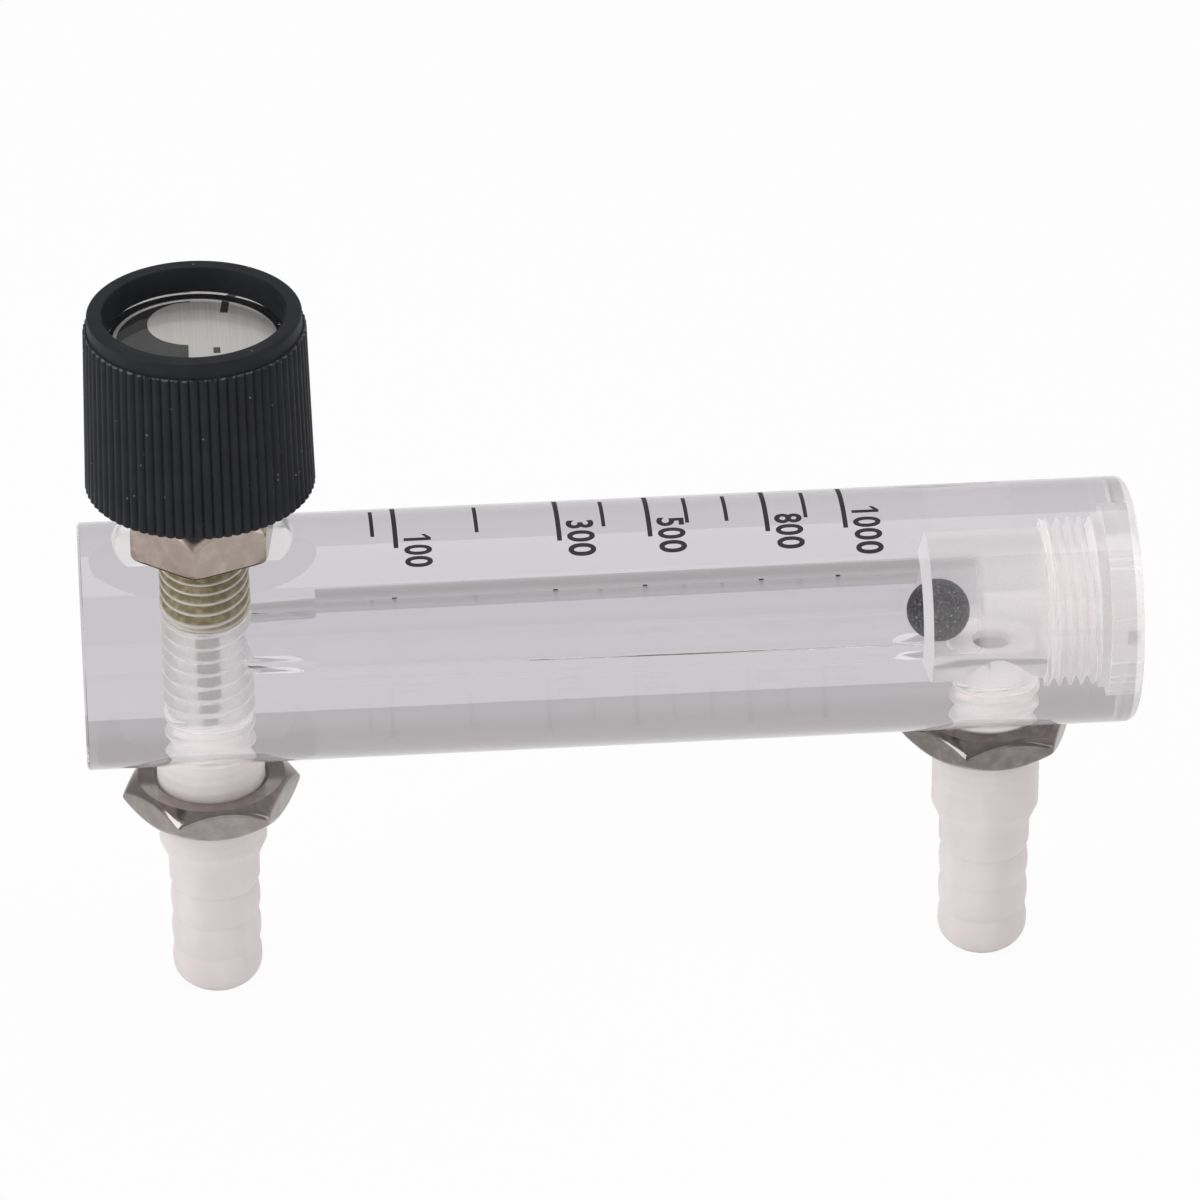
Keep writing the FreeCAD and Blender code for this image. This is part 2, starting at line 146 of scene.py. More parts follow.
class KnobSizes(bpy.types.PropertyGroup):
    """The moulded knob and its dial."""
    ribs: bpy.props.IntProperty(
        name="Ribs", description="Ribs round the knob", default=72, min=12)
    rib_depth: bpy.props.FloatProperty(
        name="Rib depth", description="Depth of the grooves between the ribs",
        default=0.23 * MM, unit="LENGTH", precision=5)
    colour: bpy.props.FloatVectorProperty(
        name="Moulding", description="Colour of the moulded knob", subtype="COLOR",
        size=3, default=(0.0070, 0.0078, 0.0105))


class StageSettings(bpy.types.PropertyGroup):
    """Camera and light."""
    focal: bpy.props.FloatProperty(
        name="Focal length", description="Focal length in millimetres", default=224.1)
    distance: bpy.props.FloatProperty(
        name="Distance", description="Camera to the meter's axis", default=0.66398,
        unit="LENGTH")
    heading: bpy.props.FloatProperty(
        name="Heading", description="Turn of the camera from +Y towards +X",
        default=math.radians(4.473), unit="ROTATION")
    dip: bpy.props.FloatProperty(
        name="Dip", description="How far the camera looks down",
        default=math.radians(31.224), unit="ROTATION")
    roll: bpy.props.FloatProperty(
        name="Roll", description="Roll of the camera", default=math.radians(-0.31),
        unit="ROTATION")


# ---- materials ----
class Signal:
    """A node's output; arithmetic on it adds Math nodes."""

    def __init__(self, finish, socket):
        self.finish = finish
        self.socket = socket

    def math(self, operation, *values):
        node = self.finish.node("ShaderNodeMath", {"operation": operation},
                                dict(enumerate(values)))
        return Signal(self.finish, node.outputs[0])

    def __add__(self, other):
        return self.math("ADD", self, other)

    def __radd__(self, other):
        return self.math("ADD", other, self)

    def __sub__(self, other):
        return self.math("SUBTRACT", self, other)

    def __rsub__(self, other):
        return self.math("SUBTRACT", other, self)

    def __mul__(self, other):
        return self.math("MULTIPLY", self, other)

    def __rmul__(self, other):
        return self.math("MULTIPLY", other, self)

    def __pow__(self, other):
        return self.math("POWER", self, other)

    def __rpow__(self, other):
        return self.math("POWER", other, self)

    def above(self, other):
        return self.math("GREATER_THAN", self, other)

    def most(self, other):
        return self.math("MAXIMUM", self, other)

    def ramp(self, low, high):
        """0 below low, 1 above high, smooth between."""
        node = self.finish.node("ShaderNodeMapRange", {"interpolation_type": "SMOOTHSTEP"},
                                {"Value": self, "From Min": low, "From Max": high})
        return Signal(self.finish, node.outputs[0])


class Finish:
    """One material, or the world, and its node tree."""

    def __init__(self, name, world=False):
        self.owner = (bpy.data.worlds if world else bpy.data.materials).new(name)
        self.owner.use_nodes = True
        self.tree = self.owner.node_tree
        self.tree.nodes.clear()
        self.output = self.node("ShaderNodeOutputWorld" if world
                                else "ShaderNodeOutputMaterial")

    def node(self, kind, settings=None, sockets=None):
        """A node of one kind: its settings first, then its sockets' values or links."""
        node = self.tree.nodes.new(kind)
        for key, value in (settings or {}).items():
            if key == "stops":
                set_stops(node.color_ramp, value)
            else:
                setattr(node, key, value)
        for key, value in (sockets or {}).items():
            socket = node.inputs[key]
            if isinstance(value, Signal):
                value = value.socket
            if isinstance(value, bpy.types.NodeSocket):
                self.tree.links.new(value, socket)
            else:
                socket.default_value = value
        return node

    def place(self, centre=(0, 0, 0), scale=(1, 1, 1)):
        """Object coordinates measured from a centre and stretched."""
        coordinate = self.node("ShaderNodeTexCoord")
        moved = self.node("ShaderNodeVectorMath", {"operation": "SUBTRACT"},
                          {0: coordinate.outputs["Object"], 1: centre})
        return self.node("ShaderNodeMapping", {"vector_type": "POINT"},
                         {"Vector": moved.outputs[0], "Scale": scale}).outputs[0]

    def part(self, vector, axis):
        """One component of a vector: 0, 1 or 2."""
        node = self.node("ShaderNodeSeparateXYZ", None, {0: vector})
        return Signal(self, node.outputs[axis])

    def noise(self, size, detail=2.0, stretch=(1, 1, 1), roughness=0.5, centre=(0, 0, 0)):
        """Noise whose grains are about size across, longer where stretch is larger."""
        scale = [1 / (size * s) for s in stretch]
        node = self.node("ShaderNodeTexNoise", None,
                         {"Vector": self.place(centre, scale), "Scale": 1.0,
                          "Detail": detail, "Roughness": roughness})
        return Signal(self, node.outputs[0])

    def specks(self, size, share):
        """Round specks: 1 on the given share of the cells, 0 elsewhere."""
        vector = self.place(scale=[1 / size] * 3)
        cells = self.node("ShaderNodeTexVoronoi", {"feature": "F1"},
                          {"Vector": vector, "Scale": 1.0})
        lot = self.part(cells.outputs["Color"], 0).above(1 - share)
        return lot * (1 - Signal(self, cells.outputs["Distance"]).ramp(0.15, 0.4))

    def mix(self, factor, first, second):
        """A colour between two."""
        pair = [c if isinstance(c, bpy.types.NodeSocket) else (*c, 1) for c in (first, second)]
        node = self.node("ShaderNodeMix", {"data_type": "RGBA"},
                         {0: factor, 6: pair[0], 7: pair[1]})
        return node.outputs[2]

    def bump(self, height, rise):
        """A normal from a height signal; rise is the height of 1 in metres."""
        return self.node("ShaderNodeBump", None, {
            "Height": height, "Distance": rise, "Strength": 1.0}).outputs[0]

    def skin(self, sockets):
        """The Principled shader."""
        return self.node("ShaderNodeBsdfPrincipled", None, sockets).outputs[0]

    def blend(self, factor, first, second):
        """A mix of two shaders."""
        return self.node("ShaderNodeMixShader", None,
                         {0: factor, 1: first, 2: second}).outputs[0]

    def lamps_through(self, shader):
        """Lets the lamps reach what is behind a clear piece."""
        shadow, diffuse = self.seen_by("Shadow", "Diffuse")
        clear = self.node("ShaderNodeBsdfTransparent").outputs[0]
        return self.blend(shadow.most(diffuse), shader, clear)

    def seen_by(self, *kinds):
        """1 for rays of the given kinds, one signal for each."""
        path = self.node("ShaderNodeLightPath")
        return [Signal(self, path.outputs[f"Is {kind} Ray"]) for kind in kinds]

    def plain(self, sockets, clear=False):
        """Sends one Principled shader out; a clear one lets the lamps through."""
        shader = self.skin(sockets)
        return self.done(self.lamps_through(shader) if clear else shader)

    def done(self, shader):
        """Sends the shader out and returns the material or world."""
        self.tree.links.new(shader, self.output.inputs["Surface"])
        return self.owner


def set_stops(ramp, stops):
    """Colour stops of a ramp, as (place, colour) pairs."""
    while len(ramp.elements) < len(stops):
        ramp.elements.new(1.0)
    for element, (place, colour) in zip(ramp.elements, stops):
        element.position = place
        element.color = (*colour, 1)


def shade(colour, factor):
    """A colour made lighter or darker."""
    return [min(1, c * factor) for c in colour]


def clear_acrylic(name, tint, roughness, scratch):
    """Polished acrylic with faint fine scratches."""
    finish = Finish(name)
    hair = finish.noise(0.12 * MM, 3, (30, 1, 1))
    cloud = finish.noise(6 * MM, 2)
    rough = roughness + scratch * hair.ramp(0.62, 0.80)
    return finish.plain({
        "Base Color": finish.mix(cloud * 0.25, tint, shade(tint, 1.04)),
        "Roughness": rough, "IOR": 1.49, "Transmission Weight": 1.0,
        "Normal": finish.bump(hair, 0.0004 * MM)}, clear=True)


def machined_acrylic(name, white, roughness, share, pitch, glow=0.3, wiped=None):
    """Acrylic left with tool marks: a frosted, whitish surface that still lets light through;
    the veil's glow is painted light.

    wiped is a smaller share for the upper front of the chamber, where the float stands.
    """
    finish = Finish(name)
    grain = finish.noise(0.12 * MM, 3)
    marks = finish.noise(pitch, 1, (40, 40, 1))
    # glow makes the veil shine though it is no lamp: painted light for light scattered through
    # the acrylic
    veil = finish.skin({
        "Base Color": finish.mix(grain, shade(white, 0.70), shade(white, 0.78)),
        "Roughness": 0.6, "Specular IOR Level": 0.3, "Emission Color": (*white, 1),
        "Emission Strength": glow})
    glass = finish.skin({
        "Base Color": (0.97, 0.965, 0.975, 1), "Roughness": roughness, "IOR": 1.49,
        "Transmission Weight": 1.0, "Normal": finish.bump(grain + marks, 0.002 * MM)})
    frost = share * (0.88 + 0.24 * grain)
    if wiped is not None:
        vector = finish.place((0, 0, axis_z * MM))
        x, y, z = (finish.part(vector, axis) for axis in range(3))
        near = 1 - x.ramp((ball_high.x - 0.3) * MM, (ball_high.x + 1.2) * MM)
        front = (0.52 * z - 0.86 * y).ramp(-0.5 * MM, 0.8 * MM)
        band = 0.86 * z + 0.52 * y
        level = band.ramp(-3.9 * MM, -2.9 * MM) * (1 - band.ramp(2.9 * MM, 3.9 * MM))
        frost = frost * (1 - (1 - wiped / share) * near * front * level)
    both = finish.blend(frost, glass, veil)
    return finish.done(finish.lamps_through(both))


def moulded_nylon(name, dark, light, glow):
    """Natural nylon: milky, a little translucent, softly glossy, with faint flow marks; glow
    makes it shine, painted light.
    """
    finish = Finish(name)
    flow = finish.noise(2.5 * MM, 2, (1, 1, 4))
    grain = finish.noise(0.10 * MM, 2)
    return finish.plain({
        "Base Color": finish.mix(flow.ramp(0.3, 0.7), dark, light),
        "Roughness": 0.42 + 0.12 * grain, "IOR": 1.53,
        "Specular IOR Level": 0.4, "Subsurface Weight": 0.5, "Subsurface Scale": 1.2 * MM,
        "Subsurface Radius": (1.0, 0.8, 0.75), "Emission Color": (*light, 1),
        "Emission Strength": glow, "Normal": finish.bump(grain + flow, 0.006 * MM)})


def nylon_pair():
    """Nylon in the open, and a lighter copy with a painted glow for the nylon inside the clear
    body: painted light.
    """
    return [moulded_nylon("natural_nylon", (0.80, 0.735, 0.735), (0.84, 0.785, 0.785), 0.0),
            moulded_nylon("glowing_nylon_painted_light", (0.93, 0.88, 0.87), (0.97, 0.93, 0.925), 0.17)]


def clear_ring_rubber():
    """Milky silicone of the static O-rings in the ports and under the plug's head."""
    finish = Finish("silicone_ring")
    grain = finish.noise(0.15 * MM, 2)
    return finish.plain({
        "Base Color": finish.mix(grain, (0.74, 0.72, 0.72), (0.84, 0.82, 0.82)),
        "Roughness": 0.45 + 0.1 * grain, "Subsurface Weight": 0.4,
        "Subsurface Scale": 0.6 * MM, "Normal": finish.bump(grain, 0.003 * MM)})


def black_rubber():
    """Dark nitrile rubber with a slight bloom."""
    finish = Finish("black_rubber")
    bloom = finish.noise(0.3 * MM, 3)
    return finish.plain({
        "Base Color": finish.mix(bloom, (0.010, 0.010, 0.011), (0.028, 0.027, 0.027)),
        "Roughness": 0.5 + 0.2 * bloom, "Normal": finish.bump(bloom, 0.004 * MM)})


def nickel_plate(name, centre, dark, light, rough):
    """Nickel over machined brass: fine turning and drawing marks, darker in places."""
    finish = Finish(name)
    drawn = finish.noise(0.07 * MM, 2, (1, 1, 30), centre=centre)
    turned = finish.noise(0.06 * MM, 2, (30, 30, 1), centre=centre)
    wear = finish.noise(1.2 * MM, 4)
    tone = finish.mix(wear.ramp(0.35, 0.75), dark, light)
    return finish.plain({
        "Base Color": tone, "Metallic": 1.0,
        "Roughness": rough * (0.8 + 0.9 * drawn + 0.5 * wear),
        "Normal": finish.bump(drawn + turned, 0.0012 * MM)})


def sealed_thread():
    """Brass thread wetted with olive sealant that lies thick in the roots."""
    finish = Finish("sealed_brass_thread")
    vector = finish.place((inlet_x * MM, 0, 0))
    x, y = finish.part(vector, 0), finish.part(vector, 1)
    radius = (x * x + y * y) ** 0.5
    crest = radius.ramp(3.86 * MM, 3.99 * MM)
    blot = finish.noise(0.7 * MM, 4)
    sealant = finish.mix(blot.ramp(0.35, 0.7), (0.36, 0.31, 0.17), (0.64, 0.57, 0.38))
    tone = finish.mix(crest, sealant, (0.90, 0.87, 0.80))
    return finish.plain({
        "Base Color": tone, "Metallic": 0.35 + 0.2 * blot, "Roughness": 0.38 + 0.2 * blot,
        "Coat Weight": 0.4, "Coat Roughness": 0.2,
        "Normal": finish.bump(blot, 0.02 * MM)})


def turned_metal(name, dark, light, centre):
    """Plain turned metal with rings left by the tool."""
    finish = Finish(name)
    rings = finish.noise(0.05 * MM, 2, (40, 40, 1), centre=centre)
    stain = finish.noise(0.8 * MM, 3)
    return finish.plain({
        "Base Color": finish.mix(stain, dark, light), "Metallic": 1.0,
        "Roughness": 0.26 + 0.15 * rings, "Normal": finish.bump(rings, 0.0015 * MM)})


def black_moulding(colour, rib_top):
    """Matt black moulding with a fine spark-eroded grain, a few pale dust specks and paler rib
    tops, a painted highlight.
    """
    finish = Finish("black_moulding")
    grain = finish.noise(0.07 * MM, 3)
    wear = finish.noise(2.2 * MM, 3)
    dust = finish.specks(0.32 * MM, 0.012)
    tone = finish.mix(wear.ramp(0.3, 0.7), colour, shade(colour, 1.7))
    vector = finish.place((inlet_x * MM, 0, 0))
    x, y, z = (finish.part(vector, axis) for axis in range(3))
    # paler rib tops stand in for light caught by their edges: painted highlight
    tops = (z.ramp(rib_top - 0.22 * MM, rib_top - 0.02 * MM)
            * (1 - z.above(rib_top + 0.01 * MM))
            * ((x * x + y * y) ** 0.5).ramp(9.45 * MM, 9.6 * MM))
    dust_and_painted_highlight = (tops * finish.noise(0.5 * MM, 3).ramp(0.40, 0.62) * 0.8).most(dust)
    return finish.plain({
        "Base Color": finish.mix(dust_and_painted_highlight, tone, (0.16, 0.16, 0.17)),
        "Roughness": 0.44 + 0.16 * grain + 0.08 * wear, "Specular IOR Level": 0.26,
        "Normal": finish.bump(grain, 0.010 * MM)})


def float_finish():
    """Black satin float with a grey speckle."""
    finish = Finish("satin_float")
    speckle = finish.noise(0.24 * MM, 4, roughness=0.7)
    bright = finish.specks(0.34 * MM, 0.14)
    tone = finish.mix(speckle.ramp(0.44, 0.66), (0.012, 0.013, 0.015), (0.13, 0.135, 0.14))
    return finish.plain({
        "Base Color": finish.mix(bright * 0.8, tone, (0.34, 0.34, 0.31)),
        "Roughness": 0.45 + 0.25 * speckle, "Specular IOR Level": 0.25,
        "Normal": finish.bump(speckle, 0.012 * MM)})


def brushed_dial():
    """Aluminium brushed in straight lines."""
    finish = Finish("brushed_dial")
    fine = finish.noise(0.035 * MM, 2, (1, 400, 1))
    broad = finish.noise(0.25 * MM, 3, (1, 200, 1))
    tone = finish.mix(fine * 0.5 + broad * 0.5, (0.50, 0.485, 0.475), (0.93, 0.92, 0.91))
    return finish.plain({
        "Base Color": tone, "Metallic": 0.85, "Roughness": 0.24 + 0.2 * fine,
        "Normal": finish.bump(fine, 0.002 * MM)})


def printing_ink(name, colour):
    """Screen-printed ink, a little uneven and softly glossy."""
    finish = Finish(name)
    uneven = finish.noise(0.14 * MM, 3)
    return finish.plain({
        "Base Color": finish.mix(uneven, shade(colour, 0.8), shade(colour, 1.6)),
        "Roughness": 0.45 + 0.2 * uneven, "Specular IOR Level": 0.12,
        "Normal": finish.bump(uneven, 0.003 * MM)})


def clear_lens():
    """Thin clear window over the dial."""
    finish = Finish("clear_lens")
    smear = finish.noise(1.5 * MM, 3)
    return finish.plain({
        "Base Color": finish.mix(smear, (0.96, 0.95, 0.945), (0.98, 0.975, 0.97)),
        "Roughness": 0.02 + 0.04 * smear.ramp(0.55, 0.8), "IOR": 1.36,
        "Transmission Weight": 1.0, "Normal": finish.bump(smear, 0.0008 * MM)}, clear=True)


# ---- turned shapes, in millimetres ----
def rows(radius, low, high, step):
    """Points up a straight wall, close enough together to be shaped."""
    count = max(1, round(abs(high - low) / step))
    return [(radius, low + (high - low) * i / count) for i in range(count + 1)]


def arc(start, through, end, steps):
    """Points on the arc through three points, without the first."""
    a, b, c = complex(*start), complex(*through), complex(*end)
    w = (c - a) / (b - a)
    centre = a + (b - a) * (w - abs(w) ** 2) / (2j * w.imag)
    first, middle, last = (math.atan2((p - centre).imag, (p - centre).real)
                           for p in (a, b, c))
    sweep = (last - first) % TURN
    if (middle - first) % TURN > sweep:
        sweep -= TURN
    points = []
    for i in range(1, steps + 1):
        angle = first + sweep * i / steps
        points.append((centre.real + abs(a - centre) * math.cos(angle),
                       centre.imag + abs(a - centre) * math.sin(angle)))
    return points


def spun(outline, segments, closed=False):
    """Shape turned about the vertical from (radius, height) points."""
    bm = bmesh.new()
    verts = [bm.verts.new((r, 0, z)) for r, z in outline]
    edges = [bm.edges.new(pair) for pair in zip(verts, verts[1:])]
    if closed:
        edges.append(bm.edges.new((verts[-1], verts[0])))
    bmesh.ops.spin(bm, geom=verts + edges, cent=(0, 0, 0), axis=(0, 0, 1), angle=TURN,
                   steps=segments, use_merge=True)
    bmesh.ops.remove_doubles(bm, verts=bm.verts, dist=NEAR)
    bmesh.ops.recalc_face_normals(bm, faces=bm.faces)
    return bm


def shaped(bm, *changes):
    """Moves each point of a turned shape to the radius that every change gives it."""
    for vert in bm.verts:
        x, y, z = vert.co
        radius = math.hypot(x, y)
        if radius > NEAR:
            wanted = radius
            for change in changes:
                wanted = change(wanted, math.atan2(y, x), z)
            vert.co = (x * wanted / radius, y * wanted / radius, z)
    return bm


def thread(crest, low, high, pitch, depth, start=0.0, fade=0.6):
    """Change that cuts a right-handed thread into the wall at one radius."""
    def change(radius, angle, height):
        if abs(radius - crest) > 0.01 or not low <= height <= high:
            return radius
        turn = (height / pitch - angle / TURN + start) % 1
        # a short flat at the crest, straight flanks, a shorter flat in the root
        flank = min(1.0, max(0.0, 1.3 * abs(2 * turn - 1) - 0.18))
        ease = min(1.0, (height - low) / fade, (high - height) / fade)
        return radius - depth * flank * ease
    return change


def soft_least(a, b, blend):
    """The smaller of two sizes, rounded over where they meet."""
    near = max(blend - abs(a - b), 0) / blend
    return min(a, b) - near * near * blend / 4


def hexagon(flats, low, high, cones):
    """Change that gives a wall six flats and turned chamfers.

    cones lists (height, radius, slope): the chamfer's radius at a height and how fast
    it grows away from that height.
    """
    def change(radius, angle, height):
        if radius < flats / 2 + 0.5 or not low <= height <= high:
            return radius
        sector = angle % (TURN / 6)
        sides = [flats / 2 / math.cos(sector - shift)
                 for shift in (TURN / 12, -TURN / 12, TURN / 4)]
        wall = soft_least(soft_least(sides[0], sides[1], 0.12), sides[2], 0.12)
        for face, start, slope in cones:
            wall = soft_least(wall, start + slope * abs(height - face), 0.4)
        return wall
    return change


def upright(bm, x, turn=0.0):
    """Stands a turned shape on the line x of the body."""
    bmesh.ops.rotate(bm, verts=bm.verts, matrix=Matrix.Rotation(turn, 3, "Z"))
    bmesh.ops.translate(bm, verts=bm.verts, vec=(x, 0, 0))
    return bm


def lying(bm):
    """Lays a turned shape on the body's axis: its heights become stations along X."""
    bmesh.ops.rotate(bm, verts=bm.verts, matrix=Matrix.Rotation(TURN / 4, 3, "Y"))
    bmesh.ops.translate(bm, verts=bm.verts, vec=(0, 0, axis_z))
    return bm


def meshed(name, bm, materials):
    """Mesh of a shape, with its finishes."""
    mesh = bpy.data.meshes.new(name)
    bm.to_mesh(mesh)
    bm.free()
    for material in materials:
        mesh.materials.append(material)
    return mesh


def placed(name, data):
    """New object in the scene, at the origin."""
    item = bpy.data.objects.new(name, data)
    bpy.context.scene.collection.objects.link(item)
    return item


def worked_out(item):
    """Mesh of an object as its cuts or its text leave it."""
    bpy.context.view_layer.update()
    graph = bpy.context.evaluated_depsgraph_get()
    return bpy.data.meshes.new_from_object(item.evaluated_get(graph))


def block(bm, *materials):
    """Object in millimetres that still has to be cut."""
    return placed("block", meshed("block", bm, materials))


def carved(piece, cutters):
    """Mesh of a block after the cutters are taken out of it."""
    for cutter in cutters:
        cut = piece.modifiers.new("cut", "BOOLEAN")
        cut.operation, cut.solver, cut.material_mode = "DIFFERENCE", "EXACT", "TRANSFER"
        cut.object = cutter
    mesh = worked_out(piece)
    for used in [piece, *cutters]:
        shell = used.data
        bpy.data.objects.remove(used)
        bpy.data.meshes.remove(shell)
    return mesh


def finished(name, mesh, body, slot, *nodes, sharp=38):
    """Names a mesh, brings it to metres and lets it ride on its body."""
    mesh.name = name
    mesh.transform(Matrix.Scale(MM, 4))
    mesh.shade_smooth()
    mesh.set_sharp_from_angle(angle=math.radians(sharp))
    piece = placed(name, mesh)
    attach(piece, body)
    if nodes:
        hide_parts(*nodes)
    return piece


def turned_piece(name, bm, materials, body, slot, *nodes, sharp=38):
    """Finished piece straight from a turned shape."""
    return finished(name, meshed(name, bm, materials), body, slot, *nodes, sharp=sharp)


def port_thread(context):
    """Pitch and depth of the port threads, in millimetres."""
    sizes = context.scene.meter_body
    return sizes.pitch / MM, sizes.depth / MM


def dress(material, *nodes):
    """Gives nodes of the frame their finish."""
    for node in nodes:
        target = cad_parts[node]
        if not target.material_slots:
            raise RuntimeError("no material slot on " + node)
        for slot in target.material_slots:
            slot.material = material


# ---- the body ----
def rod_shape(segments):
    """Plain rod with a rounded end at the plug and a broken edge at the valve.

    The turned end takes the second finish.
    """
    r, left, right = rod_radius, rod_low.x, rod_high.x
    outline = [(0, left), (r - 0.2, left), (r, left + 0.2), (r, right - 1.0)]
    outline += arc((r, right - 1.0), (r - 1 + math.sqrt(0.5), right - 1 + math.sqrt(0.5)),
                   (r - 1, right), 8) + [(0, right)]
    rod = spun(outline, segments)
    for face in rod.faces:
        face.material_index = 1 if face.calc_center_median().z > right - 0.9 else 0
    return lying(rod)


def bore_shape():
    """Cutter for the passage from the valve and the tapered bore."""
    outline = [(0, inlet_x), (passage_start, inlet_x), (passage_end, bore_start),
               (taper_start, bore_start), (taper_end, bore_end), (taper_end, bore_end + 1),
               (0, bore_end + 1)]
    return lying(spun(outline, 144))


def chamber_shape(pitch, depth):
    """Cutter for the chamber and the plug's tapped seat; flat walls take the second finish."""
    start = bore_end - frost_length
    outline = [(0, start), (3.3, start), (chamber, bore_end), (chamber, plug_face)]
    outline += rows(seat_bore, plug_face, plug_neck, pitch / 12)
    outline += [(5.23, plug_neck), (5.23, plug_head), (5.75, plug_head),
                (5.75, rod_high.x + 2), (0, rod_high.x + 2)]
    tool = shaped(spun(outline, 144),
                  thread(seat_bore, plug_face, plug_neck, pitch, depth, start=0.5, fade=0.15))
    for face in tool.faces:
        station = face.calc_center_median().z
        tapped = plug_face < station < plug_neck and face.normal.z < 0.98
        face.material_index = 2 if tapped else 1 if abs(face.normal.z) > 0.5 else 0
    return lying(tool)


def pocket(low):
    """Start of a port's outline: the pocket of the fitting's ring, open downwards."""
    return [(0, low_face - beyond), (ring_pocket, low_face - beyond), (ring_pocket, low)]


def inlet_shape(pitch, depth):
    """Valve port: tapped from the fitting's ring up to the gland, which is sealed in."""
    low, high = low_face + ring_depth, gland_low.z + 0.05
    outline = pocket(low) + rows(port_bore, low, high, pitch / 12)
    outline += [(embedded, high), (embedded, top_face - ring_depth),
                (ring_pocket, top_face - ring_depth), (ring_pocket, top_face + beyond),
                (0, top_face + beyond)]
    tool = shaped(spun(outline, 96), thread(port_bore, low, high, pitch, depth, fade=0.15))
    return upright(tool, inlet_x)


def outlet_shape(pitch, depth):
    """Outlet port: tapped round the fitting, with a plain blind end."""
    low, middle, high = low_face + ring_depth, outlet_high.z + 0.1, axis_z - 1.5
    outline = pocket(low) + rows(port_bore, low, middle, pitch / 12)
    outline += [(port_bore, high - 0.2), (3.85, high), (0, high)]
    tool = shaped(spun(outline, 96), thread(port_bore, low, middle, pitch, depth, fade=0.15))
    return upright(tool, outlet_x)


def spot_shape(radius, face, outward, x):
    """Flat-bottomed cutter with a rounded corner."""
    corner = 0.4
    lean = corner * (1 - math.sqrt(0.5))
    outline = [(0, face), (radius - corner, face)]
    outline += arc((radius - corner, face), (radius - lean, face + outward * lean),
                   (radius, face + outward * corner), 5)
    outline += [(radius, face + outward * 12), (0, face + outward * 12)]
    return upright(spun(outline, 160), x)


def true_walls(mesh):
    """Exact normals on the round walls, so that light bends cleanly through them."""
    normals = [Vector((0, 0, 0))] * len(mesh.loops)
    for polygon in mesh.polygons:
        if abs(polygon.normal.x) > 0.3:
            continue
        points = {i: mesh.vertices[mesh.loops[i].vertex_index].co
                  for i in polygon.loop_indices}
        spokes = {i: Vector((0, co.y, co.z - axis_z * MM)) for i, co in points.items()}
        reach = [spoke.length / MM for spoke in spokes.values()]
        outer = min(reach) > rod_radius - 0.01
        finish = mesh.materials[polygon.material_index].name
        inner = finish in ("bored_acrylic", "hazed_acrylic") and max(reach) < chamber + 0.1
        if outer or inner:
            side = 1 if outer else -1
            for i, spoke in spokes.items():
                normals[i] = spoke.normalized() * side
    mesh.normals_split_custom_set(normals)


# name, colour of the veil, roughness, share of the veil, pitch of the tool marks, painted
# glow,
# and the smaller share where the float stands
TOOLED_WALLS = (
    ("hazed", (0.97, 0.945, 0.94), 0.0, 0.64, 0.5 * MM, 0.24, 0.09),
    ("faced", (0.97, 0.955, 0.955), 0.3, 0.8, 0.3 * MM),
    ("milled", (0.98, 0.96, 0.965), 0.15, 0.45, 0.2 * MM, 0.5),
    ("tapped", (0.99, 0.96, 0.955), 0.25, 0.52, 0.3 * MM),
    ("ended", (0.98, 0.96, 0.955), 0.2, 0.3, 0.3 * MM, 0.28))


class METER_OT_body(bpy.types.Operator):
    """Clear rod with its bore, ports, spot faces and plug seat"""
    bl_idname = "meter.body"
    bl_label = "Clear body"

    def execute(self, context):
        sizes = context.scene.meter_body
        thread_size = port_thread(context)
        # the outer acrylic takes that grey tint, partly painted shade for the surroundings
        # seen through it
        outer = clear_acrylic("polished_acrylic", tuple(sizes.tint), 0.0, 0.10)
        bored = clear_acrylic("bored_acrylic", (0.97, 0.965, 0.975), 0.0, 0.0)
        hazed, faced, milled, tapped, ended = (
            machined_acrylic(name + "_acrylic", *values) for name, *values in TOOLED_WALLS)
        cutters = [block(bore_shape(), bored),
                   block(chamber_shape(*thread_size), hazed, faced, tapped),
                   block(inlet_shape(*thread_size), tapped),
                   block(outlet_shape(*thread_size), tapped),
                   block(spot_shape(gland_spot, top_face, 1, inlet_x), milled),
                   block(spot_shape(nut_spot, low_face, -1, inlet_x), milled),
                   block(spot_shape(nut_spot, low_face, -1, outlet_x), milled)]
        mesh = carved(block(rod_shape(sizes.segments), outer, ended), cutters)
        body = finished("clear_body", mesh, "meter", "acrylic", "meter_body", sharp=30)
        true_walls(body.data)
        return {"FINISHED"}


# ---- hose fittings and nuts ----
def barb_outline(top):
    """Outside of a fitting from the collar's end down to the open end."""
    root, crest, tip, spacing, flat = 3.8, 4.05, 3.0, 3.2, 0.2
    swell = root + 0.25 * 0.75                # radius halfway up a rounded flank
    z = top - 3.0
    points = [(4.1, top), (4.1, top - 2.2), (root, z)]
    for index in range(3):
        land = z - spacing / 2
        points += arc((root, z), (swell, (z + land + flat) / 2), (crest, land + flat), 6)
        points.append((crest, land - flat))
        if index < 2:
            z -= spacing
            points += arc((crest, land - flat), (swell, (z + land - flat) / 2), (root, z), 6)
    return points + arc((crest, land - flat), (tip + 1.05 * 0.8, (land - flat) / 2),
                        (tip, 0.06), 10) + [(2.94, 0.0)]


